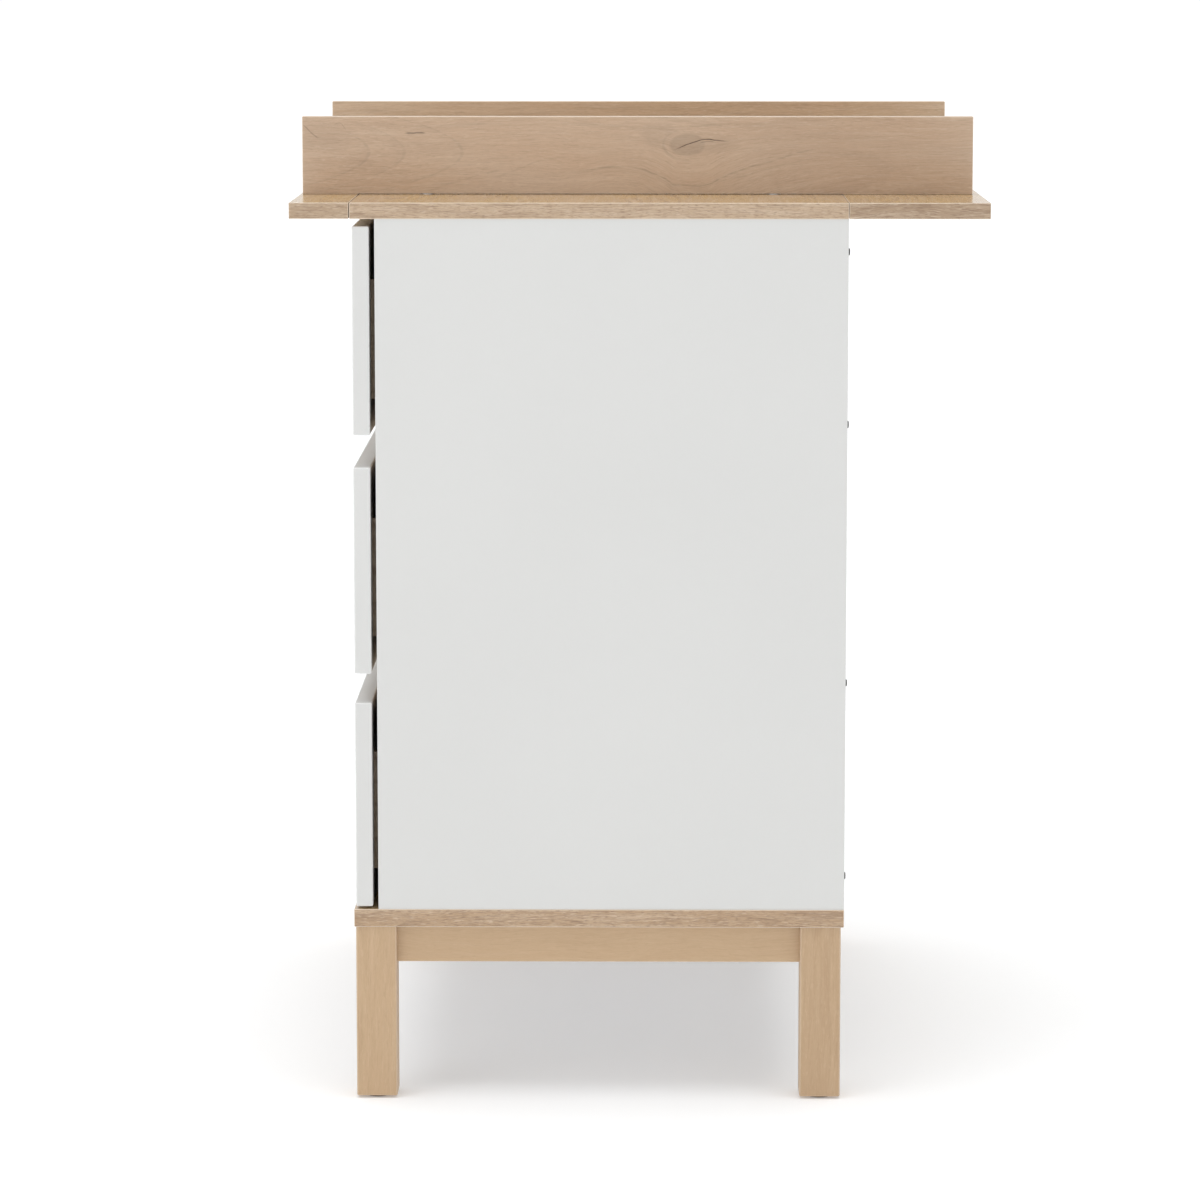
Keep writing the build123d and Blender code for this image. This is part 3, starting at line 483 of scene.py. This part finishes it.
# ---------------------------------------------------------------- other materials
def laminate(name, tone, gloss=0.42):
    """Satin white foil on board: a fine emboss, faint clouds and a painted highlight on the
    arrises.
    """
    made, graph, shader = material(name)
    place = place_mm(graph)
    cloud = graph.noise(place, (240, 240, 240), 1)
    specks = graph.noise(place, (1.2, 1.2, 1.8), 2, 0.6, 3.0)
    color = graph.mix(graph.ramp(cloud, 0.20, 0.80), linear(tone),
                      linear(tuple(c - 2 for c in tone)))
    color = graph.mix(graph.math("MULTIPLY", graph.ramp(specks, 0.50, 0.75), 0.06), color,
                      linear(FOIL_SPECK))
    # painted highlight on the arrises
    color = graph.mix(graph.math("MULTIPLY", eased_mask(graph), 0.5), color, linear(FOIL_ARRIS_HIGHLIGHT))
    set_color(graph, shader, color)
    smear = graph.noise(place, (60, 90, 120), 3, 0.6, 7.0)
    link(graph, graph.math("MULTIPLY_ADD", smear, 0.14, gloss - 0.07), shader, "Roughness")
    peel = graph.noise(place, (0.9, 0.9, 1.3), 3, 0.6, 1.0)
    link(graph, graph.bump(peel, 0.035 * MM, 0.6), shader, "Normal")
    return made


def board(name, tone, dark, gloss=0.6):
    """Matt wood-effect foil of the drawer boxes, with level grain on the upright faces."""
    made, graph, shader = material(name)
    place = place_mm(graph)
    fibre = graph.noise(place, (40, 40, 1.4), 3, 0.6, 2.0)
    vein = graph.noise(place, (260, 260, 9), 3, 0.5, 4.0)
    color = graph.mix(graph.ramp(vein, 0.40, 0.75), linear(tone), linear(dark))
    color = graph.mix(graph.math("MULTIPLY", graph.ramp(fibre, 0.5, 0.8), 0.35), color,
                      linear(dark))
    color = graph.mix(graph.math("MULTIPLY", edge_mask(graph), 0.3), color, linear(tone))
    set_color(graph, shader, color)
    link(graph, graph.math("MULTIPLY_ADD", fibre, 0.15, gloss - 0.07), shader, "Roughness")
    link(graph, graph.bump(fibre, 0.08 * MM, 0.6), shader, "Normal")
    return made


def steel(name, tone, rough, brush, metallic=1.0):
    """Plated steel with fine rolling marks, cloudy plating and brighter arrises."""
    made, graph, shader = material(name)
    place = place_mm(graph)
    marks = graph.noise(place, brush, 3, 0.65, 2.0)
    cloud = graph.noise(place, (12, 12, 12), 3, 0.6, 5.0)
    color = graph.mix(graph.ramp(cloud, 0.35, 0.7), linear(tone),
                      linear(tuple(c * 0.88 for c in tone)))
    color = graph.mix(graph.math("MULTIPLY", edge_mask(graph, 0.4 * MM), 0.3), color,
                      linear(tuple(min(255, c * 1.15) for c in tone)))
    set_color(graph, shader, color)
    shader.inputs["Metallic"].default_value = metallic
    link(graph, graph.math("MULTIPLY_ADD", marks, 0.22, rough - 0.1), shader, "Roughness")
    link(graph, graph.bump(marks, 0.02 * MM, 0.5), shader, "Normal")
    return made


def plastic(name, tone, rough):
    """Moulded plastic with a fine spark-eroded texture."""
    made, graph, shader = material(name)
    place = place_mm(graph)
    grain = graph.noise(place, (0.5, 0.5, 0.5), 3, 0.6, 2.0)
    scuff = graph.noise(place, (9, 9, 3), 4, 0.65, 6.0)
    color = graph.mix(graph.ramp(scuff, 0.45, 0.8), linear(tone),
                      linear(tuple(min(255, c * 1.35 + 8) for c in tone)))
    set_color(graph, shader, color)
    link(graph, graph.math("MULTIPLY_ADD", grain, 0.2, rough - 0.1), shader, "Roughness")
    link(graph, graph.bump(grain, 0.03 * MM, 0.6), shader, "Normal")
    return made


def dress(made, *nodes):
    """Puts a material on every slot of the given CAD nodes."""
    for node in nodes:
        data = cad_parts[node].data
        if not data.materials:
            data.materials.append(made)
        for index in range(len(data.materials)):
            data.materials[index] = made


def each(pattern):
    """The three drawers' nodes of one kind."""
    return [pattern.format(name) for name in NAMES]


def dress_all():
    """A material for every CAD node."""
    for name, edge, seed, nodes in (
            ("oak_top_board", OAK_BOARD_EDGE, 1.3, ("top_board",)),
            ("oak_front_strip", OAK_FRONT_EDGE, 2.9, ("front_strip",)),
            ("oak_back_strip", OAK_BACK_EDGE_SHADED, 3.7, ("back_strip",)),
            ("oak_base_board", OAK_BASE_EDGE, 5.9, ("bottom_board",))):
        dress(wood(name, (edge, OAK_DARK, OAK_LIGHT, edge), 0, band=1, seed=seed, figure=0.34,
                   top=OAK_TOP_REFLECTED, pores=0.12, edge_pores=1.25, contrast=0.9, gloss=0.20,
                   under=BOARD_BACKING if nodes == ("bottom_board",) else None), *nodes)
    dress(wood("oak_upright_right", (OAK_UPRIGHT, OAK_DARK, OAK_LIGHT, OAK_WARM), 1, band=2,
               seed=4.1, figure=0.12, plank=60.0, pores=0.35, contrast=0.75, gloss=0.30,
               marks=near_upright_marks, flow=knot_flow, under=UPRIGHT_FOOT_SHADE), "upright_right")
    dress(wood("oak_upright_left", (OAK_FAR, OAK_DARK, OAK_LIGHT, OAK_WARM), 1, band=2, seed=7.7,
               figure=0.24, plank=66.0, pores=0.35, contrast=0.9, gloss=0.30,
               marks=far_upright_marks, under=UPRIGHT_FOOT_SHADE), "upright_left")
    beech = (BEECH, BEECH_DARK, BEECH_LIGHT, BEECH)
    # the rear legs take a darker tone: painted shade
    for name, tone, seed, nodes in (
            ("beech_front_legs", BEECH, 2.2, ("leg_front_right", "leg_front_left")),
            ("beech_rear_legs_shaded", BEECH_REAR_SHADED, 6.6, ("leg_rear_right", "leg_rear_left"))):
        dress(wood(name, (tone, BEECH_DARK, BEECH_LIGHT, tone), 2, seed=seed, figure=0.16,
                   plank=40.0, gloss=0.42, pores=0.30, contrast=0.7, arris_highlight=0.25), *nodes)
    dress(wood("beech_side_rails", beech, 1, seed=3.2, figure=0.10, plank=40.0, gloss=0.42,
               pores=0.30, contrast=0.45, arris_highlight=0.25), "base_rail_right", "base_rail_left")
    dress(wood("beech_cross_rails", beech, 0, seed=5.2, figure=0.10, plank=40.0, gloss=0.42,
               pores=0.30, contrast=0.45, arris_highlight=0.25),
          "base_rail_front", "base_rail_rear", "dowels")
    dress(laminate("white_foil", WHITE), "side_panel_right", "side_panel_left",
          *each("drawer_front_{}"))
    dress(board("box_board", BOX_BOARD, BOX_BOARD_DARK), "cross_rail_upper", "cross_rail_lower",
          *each("drawer_side_right_{}"), *each("drawer_side_left_{}"), *each("drawer_back_{}"),
          *each("drawer_bottom_{}"))
    dress(laminate("back_foil", BACK_WHITE, 0.55), "back_panel")
    dress(steel("zinc_fittings", ZINC, 0.34, (0.8, 0.8, 0.8)), "chest_cams",
          "runner_screws", "tray_bolts", "tray_spacers", "base_screws", "corner_brackets",
          "hanger_bolts", "tray_screws", *each("drawer_cams_{}"), *each("drawer_screws_{}"))
    dress(steel("zinc_runners", RUNNER_ZINC, 0.38, (1.0, 45.0, 1.0)), *each("runner_outer_{}"),
          *each("drawer_runner_{}"), *each("ball_cage_{}"))
    dress(steel("black_screws", BLACK_OXIDE, 0.45, (0.7, 0.7, 0.7), 0.6), "back_panel_screws")
    dress(plastic("glide_plastic", GLIDE_BROWN, 0.6), "leg_glides")


# ---------------------------------------------------------------- studio
def floor():
    """Plain pale floor that reaches far past the object, with a faint light of its own."""
    made, graph, shader = material("floor")
    place = graph.node("ShaderNodeTexCoord").outputs["Object"]
    cloud = graph.noise(place, (1.7, 1.7, 1.7), 2)
    color = graph.mix(graph.ramp(cloud, 0.3, 0.7), linear(FLOOR_TONE),
                      linear(tuple(c - 2 for c in FLOOR_TONE)))
    set_color(graph, shader, color)
    shader.inputs["Roughness"].default_value = 0.8
    shader.inputs["Specular IOR Level"].default_value = 0.1
    shader.inputs["Emission Color"].default_value = (1, 1, 1, 1)
    shader.inputs["Emission Strength"].default_value = FLOOR_GLOW
    mesh = bpy.data.meshes.new("floor")
    half = FLOOR_HALF
    mesh.from_pydata([(-half, -half, 0), (half, -half, 0), (half, half, 0), (-half, half, 0)], [],
                     [(0, 1, 2, 3)])
    mesh.materials.append(made)
    plane = bpy.data.objects.new("floor", mesh)
    bpy.context.scene.collection.objects.link(plane)


def lamp(name, kind, place, target, power, **settings):
    """Light of a kind at a place, facing a target."""
    data = bpy.data.lights.new(name, kind)
    data.energy = power
    for key, value in settings.items():
        setattr(data, key, value)
    made = bpy.data.objects.new(name, data)
    made.location = place
    aim = Vector(target) - Vector(place)
    made.rotation_euler = aim.to_track_quat("-Z", "Y").to_euler()
    bpy.context.scene.collection.objects.link(made)


def studio():
    """White surroundings, brightest near the horizon, a broad light above and one at the left."""
    world = bpy.data.worlds.new("studio")
    bpy.context.scene.world = world
    world.use_nodes = True
    graph = Graph(world.node_tree)
    background = world.node_tree.nodes["Background"]
    height = graph.split(graph.node("ShaderNodeTexCoord").outputs["Generated"])[2]
    rise = graph.ramp(height, *WORLD_FALL)
    level = graph.math("MULTIPLY_ADD", rise, WORLD_TOP - WORLD_RIM, WORLD_RIM)
    world.node_tree.links.new(level, background.inputs["Strength"])
    background.inputs["Color"].default_value = (1, 1, 1, 1)
    lamp("overhead", "SUN", OVERHEAD_PLACE, (0, 0, 0), OVERHEAD_POWER,
         angle=math.radians(OVERHEAD_ANGLE))
    lamp("camera_left", "AREA", LEFT_PLACE, LEFT_AIM, LEFT_POWER, shape="RECTANGLE",
         size=LEFT_SIZE[0], size_y=LEFT_SIZE[1])
    bpy.context.scene.view_settings.view_transform = "Standard"


def camera():
    """Camera at the right-hand end, a little above the top, looking slightly down."""
    data = bpy.data.cameras.new("camera")
    data.lens = CAMERA_LENS
    data.clip_start, data.clip_end = CAMERA_CLIP
    eye = bpy.data.objects.new("camera", data)
    pitch, yaw = math.radians(CAMERA_PITCH), math.radians(CAMERA_YAW)
    look = Vector((-math.cos(pitch) * math.cos(yaw), math.cos(pitch) * math.sin(yaw),
                   -math.sin(pitch)))
    eye.location = CAMERA_PLACE
    eye.rotation_euler = look.to_track_quat("-Z", "Y").to_euler()
    bpy.context.scene.collection.objects.link(eye)
    bpy.context.scene.camera = eye


camera()
dress_all()
floor()
studio()
